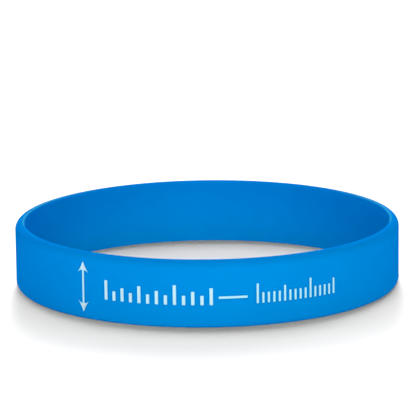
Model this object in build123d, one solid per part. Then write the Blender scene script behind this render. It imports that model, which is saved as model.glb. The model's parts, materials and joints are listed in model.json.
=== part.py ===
from build123d import *
from functools import partial
from math import degrees, pi
import os

# A silicone wristband: one moulded loop that lies on its rim, with sunk marks filled with ink.
# Millimetres. +Z is up, along the loop's axis, and the marks face -Y.
# The origin is the centre of the ring on which the loop rests.

# The loop
girth_inside = 210.0  # round the hole for the wrist
wall = 1.7
band_width = 12.0
inner_edge_radius = 0.2
rim_flat = 0.15  # the flat ring of each rim, between its inner and its outer rounding

# The recess of each mark and the ink in it
recess_depth = 0.4
ink_below_wall = 0.08  # the ink stops this far below the wall round it
ink_gap = 0.03  # between the ink and its recess, at the floor and the sides
ink_corner_radius = 0.07

# The row of marks, from left to right: arrow, inch lines, bar, millimetre lines
row_shift = -0.3  # how far the middle of the row is to the right of the front
gap_after_arrow = 3.5
gap_after_inch_lines = 1.0
gap_after_bar = 1.6

# The arrow with two heads, which spans the wall between its rounded edges
arrow_edge_gap = 0.23  # from the arrow's tip to where the edge starts to round off
arrow_head_width = 2.2
arrow_head_length = 1.85
arrow_notch = 0.35  # how far the head is cut back behind its barbs
arrow_shaft_width = 0.42
arrow_tip_width = 0.16
arrow_barb_end = 0.08
arrow_side_hollow = 0.08  # how far the head's sides curve in
arrow_back_hollow = 0.1  # how far the head's back curves in

# The lines that stand on one level, each as tall as what it counts
line_height = 3.5  # the tallest lines
inch_line_width = 0.6
inch_line_pitch = 25.4 / 16
inch_spaces = 12
inch_line_shares = {8: 1.0, 4: 0.86, 2: 0.68, 1: 0.48}  # every so many lines: share of line_height
mm_line_width = 0.4
mm_line_pitch = 1.0
mm_spaces = 15
mm_line_shares = {10: 1.0, 5: 0.8, 1: 0.54}

# The level bar between the two rows of lines
bar_length = 5.0
bar_thickness = 0.42
bar_drop = 0.45  # how far the bar is below the middle of the wall

# What follows from these sizes
inner_radius = girth_inside / (2 * pi)
outer_radius = inner_radius + wall
outer_edge_radius = wall - inner_edge_radius - rim_flat  # the rest of the wall rounds off outwards
mid_height = band_width / 2
line_foot = mid_height - line_height / 2
full_turn = 360.0


def loop():
    """The moulded loop: its section turned round the axis, flat inside and well rounded outside."""
    section = Rectangle(wall, band_width, align=(Align.MIN, Align.MIN))
    outer_corners = section.vertices().group_by(Axis.X)[-1]
    section = fillet(outer_corners, outer_edge_radius)
    inner_corners = section.vertices().group_by(Axis.X)[0]
    section = fillet(inner_corners, inner_edge_radius)
    return revolve(Plane.XZ * Pos(inner_radius, 0) * section, Axis.Z, full_turn)


def bar_outline(width, height, middle, gap):
    """A straight mark: its width, its height and its middle's height, less a gap all round."""
    corner_radius = ink_corner_radius + ink_gap - gap
    return Pos(0, middle) * RectangleRounded(width - 2 * gap, height - 2 * gap, corner_radius)


def arrow_outline(gap):
    """The arrow with two heads, less a gap all round: blocks and a shaft, with round hollows cut out."""
    tip_height = mid_height - outer_edge_radius - arrow_edge_gap
    barb_height = tip_height - arrow_head_length
    notch_height = barb_height + arrow_notch
    side_edge = SagittaArc(
        (arrow_tip_width / 2, tip_height),
        (arrow_head_width / 2, barb_height + arrow_barb_end),
        -arrow_side_hollow,
    )
    back_edge = SagittaArc(
        (arrow_head_width / 2, barb_height),
        (arrow_shaft_width / 2, notch_height),
        -arrow_back_hollow,
    )
    head_foot = back_edge.arc_center.Y
    head_top = tip_height - gap
    block = Rectangle(arrow_head_width - 2 * gap, head_top - head_foot)
    head = Pos(0, (head_top + head_foot) / 2) * block
    for edge in (side_edge, back_edge):
        hollow = Pos(edge.arc_center) * Circle(edge.radius + gap)
        head -= [hollow, mirror(hollow, about=Plane.YZ)]
    shaft = Rectangle(arrow_shaft_width - 2 * gap, notch_height + tip_height)
    return Pos(0, mid_height) * (shaft + head + mirror(head, about=Plane.XZ))


def upright(outline, along):
    """Stands an outline against the wall, this far along the wall to the right of the front."""
    turn = degrees(along / outer_radius)
    front = Plane(origin=(0, -outer_radius, 0), x_dir=(1, 0, 0), z_dir=(0, -1, 0))
    return Rot(0, 0, turn) * front.location * outline


def layer(outline, along, from_radius, to_radius):
    """An outline given a thickness in the wall, with its two faces curved round the loop's axis."""
    block = extrude(upright(outline, along), wall, both=True)
    tube = Cylinder(to_radius, band_width) - Cylinder(from_radius, band_width)
    return block & Pos(0, 0, mid_height) * tube


def recess(outline, along):
    """What the mould takes out of the wall for one mark."""
    return layer(outline(0), along, outer_radius - recess_depth, outer_radius + wall)


def ink(outline, along):
    """The ink in one recess, clear of its floor and sides and a little below the wall."""
    floor_radius = outer_radius - recess_depth
    return layer(outline(ink_gap), along, floor_radius + ink_gap, outer_radius - ink_below_wall)


def lines(name, start, spaces, pitch, width, shares):
    """The lines of one row: a name, an outline and a place along the wall for each."""
    for count in range(spaces + 1):
        share = next(share for every, share in shares.items() if count % every == 0)
        height = share * line_height
        outline = partial(bar_outline, width, height, line_foot + height / 2)
        yield f"{name}_{count:02d}", outline, start + width / 2 + count * pitch


def row_of_marks():
    """Every mark's name, outline and place along the wall, set out from left to right."""
    inch_span = inch_spaces * inch_line_pitch + inch_line_width
    mm_span = mm_spaces * mm_line_pitch + mm_line_width
    gaps = gap_after_arrow + gap_after_inch_lines + gap_after_bar
    row_length = arrow_head_width + inch_span + bar_length + mm_span + gaps
    arrow_start = row_shift - row_length / 2
    inch_start = arrow_start + arrow_head_width + gap_after_arrow
    bar_start = inch_start + inch_span + gap_after_inch_lines
    mm_start = bar_start + bar_length + gap_after_bar
    level_bar = partial(bar_outline, bar_length, bar_thickness, mid_height - bar_drop)
    yield "arrow_ink", arrow_outline, arrow_start + arrow_head_width / 2
    yield from lines("inch_ink", inch_start, inch_spaces, inch_line_pitch, inch_line_width, inch_line_shares)
    yield "bar_ink", level_bar, bar_start + bar_length / 2
    yield from lines("mm_ink", mm_start, mm_spaces, mm_line_pitch, mm_line_width, mm_line_shares)


def build():
    """All the pieces by name: the loop with its recesses, and the ink of each mark."""
    marks = list(row_of_marks())
    pieces = {name: ink(outline, along) for name, outline, along in marks}
    pieces["band"] = loop() - [recess(outline, along) for name, outline, along in marks]
    return pieces


os.makedirs("parts", exist_ok=True)
for name, piece in build().items():
    piece.label = name
    export_step(piece, f"parts/{name}.step")
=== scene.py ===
import json
from collections import namedtuple
from math import atan2, ceil, cos, floor, hypot, pi, radians, sin

import bmesh
import bpy
from mathutils import Matrix, Vector
from mathutils.geometry import delaunay_2d_cdt


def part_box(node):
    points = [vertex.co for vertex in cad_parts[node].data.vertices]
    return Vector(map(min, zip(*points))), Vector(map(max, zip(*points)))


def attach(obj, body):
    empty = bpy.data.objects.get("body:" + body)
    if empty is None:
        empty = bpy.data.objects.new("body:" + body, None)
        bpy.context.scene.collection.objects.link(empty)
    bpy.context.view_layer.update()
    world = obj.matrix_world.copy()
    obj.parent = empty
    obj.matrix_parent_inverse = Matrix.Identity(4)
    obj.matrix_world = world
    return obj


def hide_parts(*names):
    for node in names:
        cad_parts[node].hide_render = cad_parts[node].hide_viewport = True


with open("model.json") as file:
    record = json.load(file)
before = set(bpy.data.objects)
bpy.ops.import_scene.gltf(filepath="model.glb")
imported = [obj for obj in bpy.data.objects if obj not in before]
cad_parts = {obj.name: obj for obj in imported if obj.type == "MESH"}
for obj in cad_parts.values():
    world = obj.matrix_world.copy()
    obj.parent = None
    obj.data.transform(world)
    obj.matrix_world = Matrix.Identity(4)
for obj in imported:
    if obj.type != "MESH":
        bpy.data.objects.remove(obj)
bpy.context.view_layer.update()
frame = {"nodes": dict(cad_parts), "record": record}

# A silicone wristband that lies on its rim on white paper, with sunk marks filled with ink.
# Metres, in the model's own frame: +Z is up, the loop turns round the Z axis and the marks face -Y.
# A point on the wall is also written unrolled: how far it is along the wall from the front, to the
# right, and its height.

MM = 0.001
WELD = 0.0001 * MM  # points nearer than this are one point

# Sizes of the loop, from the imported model
band_node = frame["nodes"]["band"]
band_verts = [vert.co for vert in band_node.data.vertices]
_, high_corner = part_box("band")
outer_radius = high_corner.x
band_width = high_corner.z
bore = next(mount for mount in frame["record"]["mounts"] if mount["kind"] == "bore")
inner_radius = bore["dims"]["r_mm"] * MM
on_wall = 0.001 * MM  # how far off the wall a point of the model may be and still count as on it
wall_top = max(co.z for co in band_verts if hypot(co.x, co.y) > outer_radius - on_wall)
bore_top = max(co.z for co in band_verts if hypot(co.x, co.y) < inner_radius + on_wall)
outer_edge_radius = band_width - wall_top
inner_edge_radius = band_width - bore_top

# How finely the loop is meshed
segments = 720  # round the loop
step_along = 2 * pi * outer_radius / segments
outer_edge_steps = 18
inner_edge_steps = 8
wall_row = 0.75 * MM  # height of the rows of the wall
edge_row = 0.08 * MM  # height of the row next to a rounded edge
lip_radius = 0.03 * MM  # rounding of a recess's mouth
lip_steps = 3
lip_margin = 0.03 * MM  # flat strip round the lip
outline_row = wall_row / 3  # longest side of a recess's outline
mark_margin = 1.0 * MM  # how far the finely meshed stretch goes on beside the outermost marks
sharp_angle = 45  # degrees, over which an edge between two faces stays sharp

# Ink
ink_gap = 0.03 * MM  # between an ink solid of the model and its recess
ink_reach = 0.001 * MM  # the poured ink stops this far from the recess's wall
ink_cell = 0.06 * MM  # size of the cells in which the ink's face is meshed
ink_rim_depth = 0.02 * MM  # below the wall, where the ink has climbed up its recess
ink_middle_depth = 0.09 * MM  # below the wall, where it has sagged
ink_rim_width = 0.26 * MM
ink_bright_depth = 0.065 * MM  # above this depth the ink is brightest

# Colours, linear
SILICONE_DEEP = (0.0, 0.153, 0.485, 1)
SILICONE_PALE = (0.0, 0.157, 0.495, 1)
# paler colour of the painted highlight on the inner edges near the loop's ends
SILICONE_PAINTED_HIGHLIGHT = (0.03, 0.3, 0.44, 1)
SILICONE_THROWN = (0.12, 0.12, 0.12, 1)  # what the loop throws on the paper beside it stays neutral
thrown_reach = (14 * MM, 26 * MM)  # over this distance the silicone's own colour takes its place
INK_GREY = (0.39, 0.45, 0.58, 1)
INK_PALE = (0.42, 0.49, 0.61, 1)
INK_BRIGHT = (0.235, 0.49, 0.68, 1)
PAPER_WHITE = (0.95, 0.95, 0.95, 1)

# Painted highlight, a paler colour along the inner edges near the loop's left and right ends: each pair
# says where it starts and where it is full
painted_highlight_share = 0.5  # how much of the painted highlight's colour shows where the highlight is full
painted_highlight_ends = (20 * MM, 32 * MM)  # to the left and right of the middle
painted_highlight_back = (-8 * MM, -3 * MM)  # towards the back
painted_highlight_inwards = (inner_radius + 3 * inner_edge_radius, inner_radius + inner_edge_radius)  # from the axis
painted_highlight_rim = (bore_top - band_width / 2, band_width / 2 - inner_edge_radius / 2)  # from mid-height

# Surfaces
light_reach = 1.0 * MM  # how far light spreads below the silicone's surface
silicone_ior = 1.41
silicone_roughness = (0.5, 0.6)
ink_roughness = (0.45, 0.6)
ink_gloss = 0.2
paper_roughness = 0.9

# Noise: the size of its features, and for bumps their depth too
noise_detail = 2.0
noise_span = (0.3, 0.7)  # noise below the first counts as none, and above the second as full
pigment_clouds = 9 * MM
matte_patches = 2.5 * MM
silicone_swell = (3 * MM, 0.012 * MM)
mould_grain = (0.16 * MM, 0.0012 * MM)
ink_clouds = 0.7 * MM
ink_grain = (0.08 * MM, 0.003 * MM)
paper_tooth = (0.5 * MM, 0.001 * MM)

# Camera: it stands in front of the marks and looks a little down on the loop
camera_back = 497.0 * MM
camera_height = 121.2 * MM
camera_pitch = 12.2  # degrees below the horizon
camera_turn = 0.025  # degrees to the right
camera_roll = 0.67  # degrees, right side up
camera_lens = 240.1  # mm, on the sensor below
camera_sensor = 36.0  # mm wide

# Light: broad suns. A fill reaches only the loop and leaves the paper's shadow as it is; one from
# below the horizon stands for what the bright paper throws up.
Sun = namedtuple("Sun", "name bearing height spread strength colour fill")  # degrees, bearing 0 in front
WHITE = (1.0, 1.0, 1.0)
SUNS = (
    Sun("back_low", 180, 20, 12, 2.65, WHITE, False),
    Sun("back_middle", 180, 28, 16, 0.98, WHITE, False),
    Sun("back_high", 180, 78, 14, 0.77, WHITE, False),
    Sun("back_right", 155, 30, 24, 0.86, WHITE, False),
    Sun("back_left", -155, 30, 24, 0.43, WHITE, False),
    Sun("right", 110, 30, 40, 0.43, WHITE, False),
    Sun("left", -110, 30, 40, 0.54, WHITE, False),
    Sun("right_high", 150, 60, 24, 0.44, WHITE, False),
    Sun("left_high", -150, 60, 24, 0.46, WHITE, False),
    Sun("front_low", 0, 12, 16, 1.04, WHITE, False),
    Sun("front_middle", 0, 30, 30, 0.43, WHITE, False),
    Sun("front_left", -45, 12, 24, 0.66, WHITE, False),
    Sun("front_right", 45, 12, 24, 0.17, WHITE, False),
    Sun("fill_high", 0, 60, 40, 0.15, WHITE, True),
    Sun("fill_right", 40, 14, 24, 0.46, (1.0, 1.0, 0.9), True),
    Sun("thrown_up", 0, -6, 12, 1.16, (0.7, 1.0, 0.66), True),
    Sun("thrown_under", 0, -70, 40, 1.2, (0.85, 0.85, 1.0), True),
    Sun("thrown_right", 30, -8, 20, 0.46, (0.6, 1.0, 0.25), True),
    Sun("thrown_far_right", 90, -40, 40, 0.8, (0.0, 0.0, 1.0), True),
    Sun("thrown_far_left", -90, -40, 40, 0.5, (0.0, 0.0, 1.0), True),
)

paper_side = 6.0  # metres, of the square sheet on which the loop lies


def new_material(name):
    """A new node material, with its node tree and its principled shader."""
    material = bpy.data.materials.new(name)
    material.use_nodes = True
    return material, material.node_tree, material.node_tree.nodes["Principled BSDF"]


def add_node(tree, kind, inputs, **settings):
    """A new node whose inputs are given as values or as other nodes' outputs; returns its first output."""
    node = tree.nodes.new(kind)
    for name, value in settings.items():
        setattr(node, name, value)
    for socket, value in inputs.items():
        if isinstance(value, bpy.types.NodeSocket):
            tree.links.new(value, node.inputs[socket])
        else:
            node.inputs[socket].default_value = value
    return next(output for output in node.outputs if output.enabled)


def place_nodes(tree):
    """The place of a point, its distance from the loop's axis, and its X, Y and Z."""
    place = tree.nodes.new("ShaderNodeTexCoord").outputs["Object"]
    flat = add_node(tree, "ShaderNodeVectorMath", {0: place, 1: (1.0, 1.0, 0.0)}, operation="MULTIPLY")
    length = tree.nodes.new("ShaderNodeVectorMath")
    length.operation = "LENGTH"
    tree.links.new(flat, length.inputs[0])
    parts = tree.nodes.new("ShaderNodeSeparateXYZ")
    tree.links.new(place, parts.inputs[0])
    return place, length.outputs["Value"], *parts.outputs


def noise(tree, place, feature):
    """Noise from 0 to 1 whose features are about this size."""
    inputs = {"Vector": place, "Scale": 1 / feature, "Detail": noise_detail}
    return add_node(tree, "ShaderNodeTexNoise", inputs)


def ramp(tree, value, first, last, low=0.0, high=1.0):
    """A value taken smoothly from low to high while another goes from first to last."""
    inputs = {"Value": value, "From Min": first, "From Max": last, "To Min": low, "To Max": high}
    return add_node(tree, "ShaderNodeMapRange", inputs, interpolation_type="SMOOTHSTEP")


def patchy(tree, place, feature, low=0.0, high=1.0):
    """A value that goes softly between low and high in patches of about this size."""
    return ramp(tree, noise(tree, place, feature), *noise_span, low, high)


def maths(tree, operation, *values):
    """The result of one operation on values."""
    return add_node(tree, "ShaderNodeMath", dict(enumerate(values)), operation=operation)


def blended(tree, share, first, second):
    """A colour between two, by a share from 0 to 1."""
    inputs = {"Factor": share, "A": first, "B": second}
    return add_node(tree, "ShaderNodeMix", inputs, data_type="RGBA")


def bumps(tree, place, *layers):
    """A normal roughened by layers of noise, each with the size and the depth of its features."""
    normal = None
    for feature, depth in layers:
        inputs = {"Height": noise(tree, place, feature), "Distance": depth, "Strength": 1.0}
        if normal:
            inputs["Normal"] = normal
        normal = add_node(tree, "ShaderNodeBump", inputs)
    return normal


def silicone_material():
    """Matte moulded silicone: fine grain from the mould, cloudy pigment and a painted highlight, a paler
    colour along the inner edges near the loop's ends.
    """
    material, tree, shader = new_material("silicone_blue")
    place, radius, across, back, height = place_nodes(tree)
    from_mid_height = maths(tree, "ABSOLUTE", maths(tree, "SUBTRACT", height, band_width / 2))
    sideways = maths(tree, "ABSOLUTE", across)
    # painted highlight: a paler colour mixed in along the inner edges near the loop's left and right ends
    painted_highlight = painted_highlight_share
    for value, span in (
        (from_mid_height, painted_highlight_rim),
        (radius, painted_highlight_inwards),
        (sideways, painted_highlight_ends),
        (back, painted_highlight_back),
    ):
        painted_highlight = maths(tree, "MULTIPLY", painted_highlight, ramp(tree, value, *span))
    pigment = blended(tree, patchy(tree, place, pigment_clouds), SILICONE_DEEP, SILICONE_PALE)
    colour = blended(tree, painted_highlight, pigment, SILICONE_PAINTED_HIGHLIGHT)
    path = tree.nodes.new("ShaderNodeLightPath").outputs
    nearby = ramp(tree, path["Ray Length"], *thrown_reach, 1.0, 0.0)
    thrown = maths(tree, "MULTIPLY", path["Is Diffuse Ray"], nearby)
    tree.links.new(blended(tree, thrown, colour, SILICONE_THROWN), shader.inputs["Base Color"])
    tree.links.new(patchy(tree, place, matte_patches, *silicone_roughness), shader.inputs["Roughness"])
    tree.links.new(bumps(tree, place, silicone_swell, mould_grain), shader.inputs["Normal"])
    shader.inputs["IOR"].default_value = silicone_ior
    shader.inputs["Specular IOR Level"].default_value = 0.0
    shader.subsurface_method = "BURLEY"
    shader.inputs["Subsurface Weight"].default_value = 1.0
    shader.inputs["Subsurface Radius"].default_value = (1.0, 1.0, 1.0)
    shader.inputs["Subsurface Scale"].default_value = light_reach
    return material


def ink_material():
    """Matte ink: brightest where it climbs its recess, and greyer where it has sagged."""
    material, tree, shader = new_material("ink_pale")
    place, radius, *_ = place_nodes(tree)
    climbed = ramp(tree, radius, outer_radius - ink_middle_depth, outer_radius - ink_bright_depth)
    cloud = patchy(tree, place, ink_clouds)
    middle = blended(tree, cloud, INK_GREY, INK_PALE)
    tree.links.new(blended(tree, climbed, middle, INK_BRIGHT), shader.inputs["Base Color"])
    tree.links.new(ramp(tree, cloud, 0.0, 1.0, *ink_roughness), shader.inputs["Roughness"])
    tree.links.new(bumps(tree, place, ink_grain), shader.inputs["Normal"])
    shader.inputs["Specular IOR Level"].default_value = ink_gloss
    return material


def paper_material():
    """Matte white paper with a faint tooth."""
    material, tree, shader = new_material("paper")
    place = tree.nodes.new("ShaderNodeTexCoord").outputs["Object"]
    tree.links.new(bumps(tree, place, paper_tooth), shader.inputs["Normal"])
    shader.inputs["Base Color"].default_value = PAPER_WHITE
    shader.inputs["Roughness"].default_value = paper_roughness
    shader.inputs["Specular IOR Level"].default_value = 0.0
    return material


def unrolled(place):
    """A point on the wall, unrolled."""
    return Vector((atan2(place.x, -place.y) * outer_radius, place.z))


def rolled(point, depth):
    """The place of an unrolled point at this depth below the wall."""
    turn = point.x / outer_radius
    radius = outer_radius - depth
    return Vector((radius * sin(turn), -radius * cos(turn), point.y))


def sides_of(outline):
    """The sides of a closed outline, each as its two ends."""
    return zip(outline, outline[1:] + outline[:1])


def model_outlines():
    """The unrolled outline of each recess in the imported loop, anticlockwise."""
    mesh = bmesh.new()
    mesh.from_mesh(band_node.data)
    bmesh.ops.remove_doubles(mesh, verts=mesh.verts, dist=WELD)
    on_face = {vert for vert in mesh.verts if hypot(vert.co.x, vert.co.y) > outer_radius - on_wall}
    wall_faces = {face for face in mesh.faces if on_face.issuperset(face.verts)}
    links = {}
    for edge in mesh.edges:
        if sum(face in wall_faces for face in edge.link_faces) == 1:
            for vert in edge.verts:
                links.setdefault(vert, []).append(edge.other_vert(vert))
    outlines = []
    while links:
        here, ahead = links.popitem()
        outline = [unrolled(here.co)]
        while ahead := [vert for vert in ahead if vert in links]:
            here = ahead[0]
            outline.append(unrolled(here.co))
            ahead = links.pop(here)
        heights = [point.y for point in outline]
        if max(heights) - min(heights) > on_wall:
            area = sum(a.x * b.y - b.x * a.y for a, b in sides_of(outline))
            outlines.append(outline if area > 0 else outline[::-1])
    mesh.free()
    return outlines


def corners_of(outline):
    """The lowest and the highest corner of the box round an outline."""
    low = Vector((min(point.x for point in outline), min(point.y for point in outline)))
    high = Vector((max(point.x for point in outline), max(point.y for point in outline)))
    return low, high


def outline_round(node, outlines):
    """The recess in which an ink solid of the model lies."""
    low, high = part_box(node)
    middle = unrolled((low + high) / 2)
    return min(outlines, key=lambda outline: (sum(corners_of(outline), Vector((0, 0))) / 2 - middle).length)


def widened(outline, by):
    """An outline moved outwards by this much, with its sharp points held back."""
    sharpest = 0.5
    moved = []
    for before, here, after in zip(outline[-1:] + outline[:-1], outline, outline[1:] + outline[:1]):
        normal_in = Vector((here.y - before.y, before.x - here.x)).normalized()
        normal_out = Vector((after.y - here.y, here.x - after.x)).normalized()
        middle = (normal_in + normal_out).normalized()
        moved.append(here + middle * by / max(middle.dot(normal_out), sharpest))
    return moved


def finely_cut(outline, longest):
    """An outline with points added so that no side is longer than this."""
    points = []
    for here, after in sides_of(outline):
        count = max(1, ceil((after - here).length / longest))
        points += [here.lerp(after, step / count) for step in range(count)]
    return points


def distance_to(outline, point):
    """The distance from a point to the nearest side of an outline."""
    nearest = float("inf")
    for here, after in sides_of(outline):
        side = after - here
        share = min(max((point - here).dot(side) / side.length_squared, 0.0), 1.0)
        nearest = min(nearest, (here + side * share - point).length)
    return nearest


def is_inside(outline, point):
    """Whether a point lies inside an outline."""
    inside = False
    for here, after in sides_of(outline):
        if (here.y > point.y) != (after.y > point.y):
            crossing = here.x + (point.y - here.y) / (after.y - here.y) * (after.x - here.x)
            inside ^= crossing > point.x
    return inside


def is_in_any(outlines, boxes, point):
    """Whether a point lies inside one of several outlines, whose boxes are known."""
    for outline, (low, high) in zip(outlines, boxes):
        if low.x < point.x < high.x and low.y < point.y < high.y and is_inside(outline, point):
            return True
    return False


def filled(outlines, inner):
    """Triangles that fill the first of the outlines and keep to the sides of them all."""
    points = [point for outline in outlines for point in outline]
    sides = []
    for outline in outlines:
        first = len(sides)
        sides += [(first + i, first + (i + 1) % len(outline)) for i in range(len(outline))]
    only_inside = 1  # what the triangulation gives back
    closest = 0.000001 * MM  # points nearer than this are one point to it
    corners, _, faces, *_ = delaunay_2d_cdt(points + inner, sides, [], only_inside, closest)
    return corners, faces


def steps_between(first, last, longest):
    """Evenly spaced values from the first to the last, no more than this far apart."""
    hair = 1e-6  # keeps a whole number of steps from being rounded up
    count = max(1, ceil((last - first) / longest - hair))
    return [first + (last - first) * step / count for step in range(count + 1)]


def wall_heights():
    """The heights of the rows of the loop's outer wall."""
    wall_foot = band_width - wall_top
    return [wall_foot, *steps_between(wall_foot + edge_row, wall_top - edge_row, wall_row), wall_top]


def rest_of_section():
    """Radius and height round the loop's section, from the wall's top over the bore to its foot."""
    top = []
    outer_middle = outer_radius - outer_edge_radius
    for step in range(outer_edge_steps + 1):
        turn = pi / 2 * step / outer_edge_steps
        top.append((outer_middle + outer_edge_radius * cos(turn), wall_top + outer_edge_radius * sin(turn)))
    inner_middle = inner_radius + inner_edge_radius
    for step in range(inner_edge_steps + 1):
        turn = pi / 2 * step / inner_edge_steps
        top.append((inner_middle - inner_edge_radius * sin(turn), bore_top + inner_edge_radius * cos(turn)))
    mid_height = band_width / 2
    top += [(inner_radius, height) for height in steps_between(-bore_top + edge_row, -mid_height, wall_row)]
    top = [(radius, abs(height)) for radius, height in top]
    foot = [(radius, band_width - height) for radius, height in top[-2::-1]]
    return top + foot


def add_strip(mesh, profile, columns):
    """Faces between each column of the loop and the next, for points given by their depth and height."""
    grid = []
    for column in columns:
        along = column * step_along
        grid.append([mesh.verts.new(rolled(Vector((along, height)), depth)) for depth, height in profile])
    for here, after in zip(grid, grid[1:]):
        for row in range(len(profile) - 1):
            mesh.faces.new((here[row], after[row], after[row + 1], here[row + 1]))


def add_marked_wall(mesh, outlines, heights, first, last):
    """The stretch of the outer wall between two columns, open at the mouth of each recess."""
    mouths = [widened(outline, lip_radius) for outline in outlines]
    margins = [widened(outline, lip_radius + lip_margin) for outline in outlines]
    margin_boxes = [corners_of(margin) for margin in margins]
    foot = [Vector((column * step_along, heights[0])) for column in range(first, last)]
    right = [Vector((last * step_along, height)) for height in heights[:-1]]
    top = [Vector((column * step_along, heights[-1])) for column in range(last, first, -1)]
    left = [Vector((first * step_along, height)) for height in heights[:0:-1]]
    inner = []
    for column in range(first + 1, last):
        for height in heights[1:-1]:
            point = Vector((column * step_along, height))
            if not is_in_any(margins, margin_boxes, point):
                inner.append(point)
    corners, faces = filled([foot + right + top + left, *mouths, *margins], inner)
    wall = [mesh.verts.new(rolled(corner, 0.0)) for corner in corners]
    for face in faces:
        middle = sum((corners[i] for i in face), Vector((0, 0))) / len(face)
        if not is_in_any(mouths, margin_boxes, middle):
            mesh.faces.new([wall[i] for i in face])


def add_recess(mesh, outline):
    """The rounded lip, the sides and the floor of one recess."""
    rings = []
    for step in range(lip_steps + 1):
        turn = pi / 2 * step / lip_steps
        ring = widened(outline, lip_radius * (1 - sin(turn)))
        rings.append([mesh.verts.new(rolled(point, lip_radius * (1 - cos(turn)))) for point in ring])
    rings.append([mesh.verts.new(rolled(point, recess_depth)) for point in outline])
    for upper, lower in zip(rings, rings[1:]):
        for (a, b), (c, d) in zip(sides_of(upper), sides_of(lower)):
            mesh.faces.new((a, b, d, c))
    corners, faces = filled([outline], [])
    floor_verts = [mesh.verts.new(rolled(corner, recess_depth)) for corner in corners]
    for face in faces:
        mesh.faces.new([floor_verts[i] for i in face])


def moulded_loop(outlines, material):
    """The whole moulded loop with its recesses, meshed finely enough to stay smooth from near by."""
    mesh = bmesh.new()
    half = segments // 2
    heights = wall_heights()
    spots = [point.x for outline in outlines for point in outline]
    first = floor((min(spots) - mark_margin) / step_along)
    last = ceil((max(spots) + mark_margin) / step_along)
    section = [(outer_radius - radius, height) for radius, height in rest_of_section()]
    add_strip(mesh, section, range(-half, half + 1))
    plain_wall = [(0.0, height) for height in heights]
    add_strip(mesh, plain_wall, range(-half, first + 1))
    add_strip(mesh, plain_wall, range(last, half + 1))
    add_marked_wall(mesh, outlines, heights, first, last)
    for outline in outlines:
        add_recess(mesh, outline)
    return finish_piece("band_moulded", mesh, material, "band")


def finish_piece(name, mesh, material, node):
    """Welds a mesh and makes it a smooth piece that stands for a node of the model."""
    bmesh.ops.remove_doubles(mesh, verts=mesh.verts, dist=WELD)
    bmesh.ops.recalc_face_normals(mesh, faces=mesh.faces)
    data = bpy.data.meshes.new(name)
    mesh.to_mesh(data)
    mesh.free()
    data.polygons.foreach_set("use_smooth", [True] * len(data.polygons))
    data.set_sharp_from_angle(angle=radians(sharp_angle))
    data.materials.append(material)
    piece = bpy.data.objects.new(name, data)
    bpy.context.scene.collection.objects.link(piece)
    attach(piece, "root")
    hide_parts(node)
    return piece


def poured_ink(node, outline, material):
    """The ink of one mark: it climbs the recess's wall all round and sags in the middle."""
    outline = widened(outline, -ink_reach)
    low, high = corners_of(outline)
    half = 0.5  # of a cell, from its corner to its middle
    inner = []
    for column in range(floor((high.x - low.x) / ink_cell) + 1):
        for row in range(floor((high.y - low.y) / ink_cell) + 1):
            point = low + Vector((column + half, row + half)) * ink_cell
            if is_inside(outline, point) and distance_to(outline, point) > ink_cell / 2:
                inner.append(point)
    rim = finely_cut(outline, ink_cell)
    corners, faces = filled([rim], inner)
    mesh = bmesh.new()
    top = []
    bottom = []
    for corner in corners:
        share = min(distance_to(outline, corner) / ink_rim_width, 1.0)
        depth = ink_middle_depth - (ink_middle_depth - ink_rim_depth) * (1 - share) ** 2
        top.append(mesh.verts.new(rolled(corner, depth)))
        bottom.append(mesh.verts.new(rolled(corner, recess_depth - ink_gap)))
    for face in faces:
        mesh.faces.new([top[i] for i in face])
        mesh.faces.new([bottom[i] for i in reversed(face)])
    number = {vert: i for i, vert in enumerate(top)}
    border = [edge for edge in mesh.edges if edge.is_boundary and edge.verts[0] in number]
    for edge in border:
        a, b = (number[vert] for vert in edge.verts)
        mesh.faces.new((top[a], top[b], bottom[b], bottom[a]))
    return finish_piece(f"{node}_fill", mesh, material, node)


def lay_paper():
    """The white paper under the loop."""
    bpy.ops.mesh.primitive_plane_add(size=paper_side)
    paper = bpy.context.object
    paper.name = "paper"
    paper.data.materials.append(paper_material())


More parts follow.
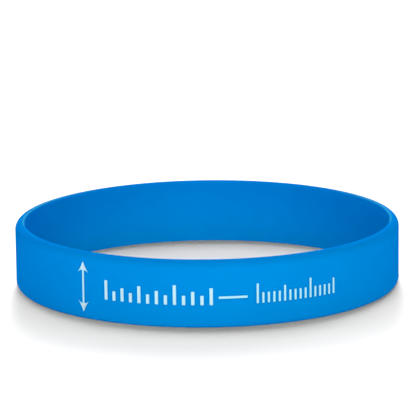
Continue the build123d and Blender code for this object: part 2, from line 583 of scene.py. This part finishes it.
def hang_suns(loop_pieces):
    """The soft studio light, as broad suns; a fill reaches only the loop's pieces."""
    lit = bpy.data.collections.new("lit_by_fills")
    for piece in loop_pieces:
        lit.objects.link(piece)
    for sun in SUNS:
        data = bpy.data.lights.new(sun.name, "SUN")
        data.angle = radians(sun.spread)
        data.energy = sun.strength
        data.color = sun.colour
        light = bpy.data.objects.new(sun.name, data)
        bearing, height = radians(sun.bearing), radians(sun.height)
        towards = Vector((sin(bearing) * cos(height), -cos(bearing) * cos(height), sin(height)))
        light.rotation_euler = (-towards).to_track_quat("-Z", "Y").to_euler()
        bpy.context.scene.collection.objects.link(light)
        if sun.fill:
            light.light_linking.receiver_collection = lit
            light.light_linking.blocker_collection = lit


def white_backdrop():
    """White beyond the paper for the camera, and no light of its own."""
    world = bpy.data.worlds.new("backdrop")
    world.use_nodes = True
    nodes = world.node_tree.nodes
    path = nodes.new("ShaderNodeLightPath")
    world.node_tree.links.new(path.outputs["Is Camera Ray"], nodes["Background"].inputs["Strength"])
    nodes["Background"].inputs["Color"].default_value = (1, 1, 1, 1)
    bpy.context.scene.world = world


def place_camera():
    """The camera, at the height and tilt from which the loop is seen."""
    data = bpy.data.cameras.new("camera")
    data.lens = camera_lens
    data.sensor_width = camera_sensor
    camera = bpy.data.objects.new("camera", data)
    bpy.context.scene.collection.objects.link(camera)
    place = Matrix.Translation((0, -camera_back, camera_height))
    turn = Matrix.Rotation(-radians(camera_turn), 4, "Z")
    tilt = Matrix.Rotation(radians(90 - camera_pitch), 4, "X")
    roll = Matrix.Rotation(-radians(camera_roll), 4, "Z")
    camera.matrix_world = place @ turn @ tilt @ roll
    bpy.context.scene.camera = camera


place_camera()
white_backdrop()
lay_paper()
bpy.context.scene.view_settings.view_transform = "Standard"

ink_nodes = sorted(name for name in frame["nodes"] if name != "band")
ink_verts = [vert.co for vert in frame["nodes"][ink_nodes[0]].data.vertices]
recess_depth = outer_radius - min(hypot(co.x, co.y) for co in ink_verts) + ink_gap
recesses = model_outlines()
cut_recesses = [finely_cut(outline, outline_row) for outline in recesses]
pieces = [moulded_loop(cut_recesses, silicone_material())]
ink = ink_material()
pieces += [poured_ink(name, outline_round(name, recesses), ink) for name in ink_nodes]
hang_suns(pieces)
